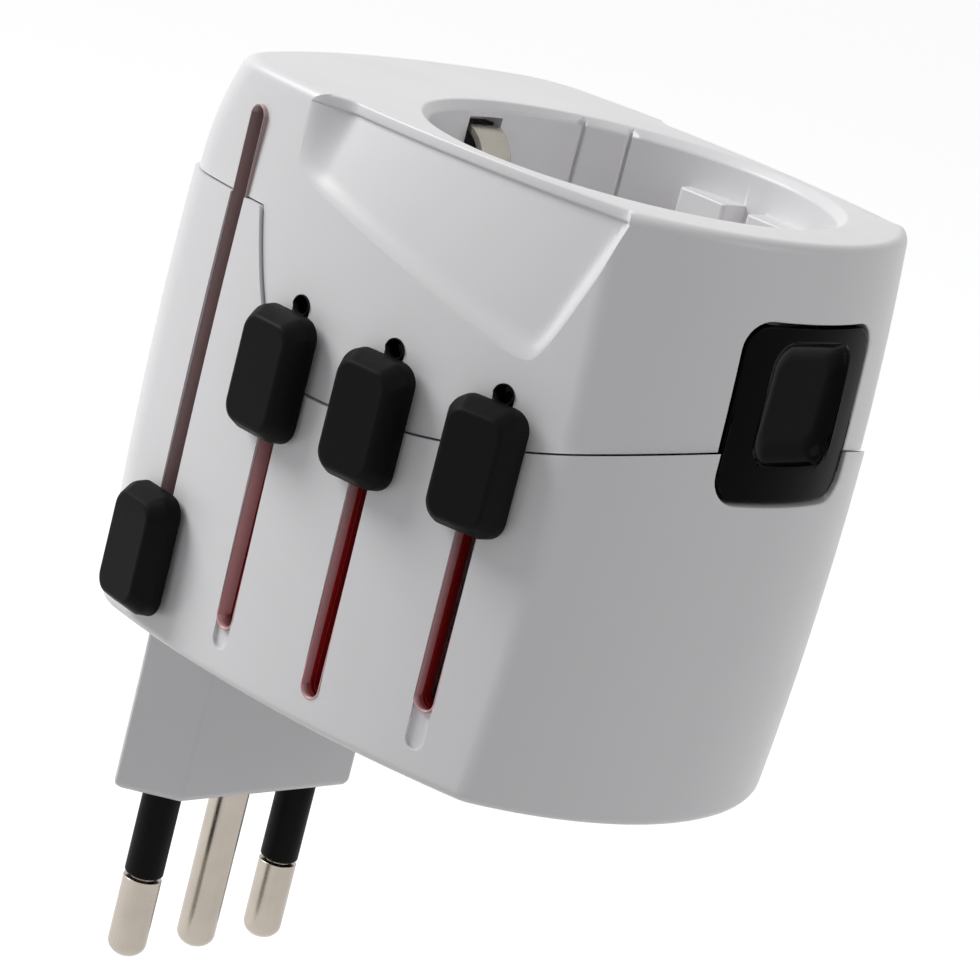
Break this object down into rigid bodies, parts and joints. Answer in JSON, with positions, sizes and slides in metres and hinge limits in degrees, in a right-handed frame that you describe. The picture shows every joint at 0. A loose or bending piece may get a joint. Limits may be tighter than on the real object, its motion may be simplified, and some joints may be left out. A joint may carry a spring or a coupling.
{
  "type": "universal travel adapter",
  "caption": "Barrel-shaped universal travel adapter with an earthed round socket on top, slide buttons for its plugs in slots, a release button and an in-line round-pin plug out below.",
  "frame": {"origin": "middle of the flat plug face under the housing, the face that lies against the wall outlet", "axes": "+Z out of the socket, away from the wall; +X along the slider side, towards the rounded end with the release button; -Y is the side with the slide buttons"},
  "size_m": [0.0674, 0.0536, 0.0942],
  "materials": {
    "white_shell": "satin",
    "black_grip": "matte",
    "black_gloss": "polished",
    "dark_red": "satin",
    "nickel": "bright nickel plate",
    "brass": "plain",
    "spring_steel": "bright"
  },
  "bodies": {
    "housing": {"lower_housing": "white_shell", "upper_housing": "white_shell", "guide_panel": "dark_red", "housing_screw_1": "spring_steel", "housing_screw_2": "spring_steel", "housing_screw_3": "spring_steel", "housing_screw_4": "spring_steel", "earth_bracket": "spring_steel", "live_contact": "brass", "neutral_contact": "brass", "live_busbar": "brass", "neutral_busbar": "brass", "release_spring_front": "spring_steel", "release_spring_back": "spring_steel"},
    "inline_plug": {"slider_knob_1": "black_grip", "inline_block": "white_shell", "inline_live_pin": "nickel", "inline_neutral_pin": "nickel", "inline_earth_pin": "nickel", "inline_live_sleeve": "black_grip", "inline_neutral_sleeve": "black_grip"},
    "flat_plug": {"slider_knob_2": "black_grip", "flat_carriage": "dark_red", "flat_live_blade": "brass", "flat_neutral_blade": "brass", "flat_earth_pin": "brass"},
    "thick_plug": {"slider_knob_3": "black_grip", "thick_carriage": "dark_red", "thick_live_pin": "brass", "thick_neutral_pin": "brass", "thick_earth_pin": "brass", "thick_live_sleeve": "black_grip", "thick_neutral_sleeve": "black_grip"},
    "angled_plug": {"slider_knob_4": "black_grip", "angled_carriage": "dark_red", "angled_live_blade": "brass", "angled_neutral_blade": "brass", "angled_earth_blade": "brass"},
    "release": {"release_button": "black_gloss", "lock_bar": "dark_red"}
  },
  "joints": [
    {"name": "inline_slide", "type": "slide", "parent": "housing", "child": "inline_plug", "axis": [0, 0, 1], "range_m": [0, 0.039]},
    {"name": "flat_slide", "type": "slide", "parent": "housing", "child": "flat_plug", "axis": [0, 0, -1], "range_m": [0, 0.0212]},
    {"name": "thick_slide", "type": "slide", "parent": "housing", "child": "thick_plug", "axis": [0, 0, -1], "range_m": [0, 0.0232]},
    {"name": "angled_slide", "type": "slide", "parent": "housing", "child": "angled_plug", "axis": [0, 0, -1], "range_m": [0, 0.0195]},
    {"name": "release_press", "type": "slide", "parent": "housing", "child": "release", "axis": [-1, 0, 0], "range_m": [0, 0.002], "stiffness_N_per_m": 600, "springref_m": -0.002, "deforming": ["release_spring_front", "release_spring_back"]}
  ]
}
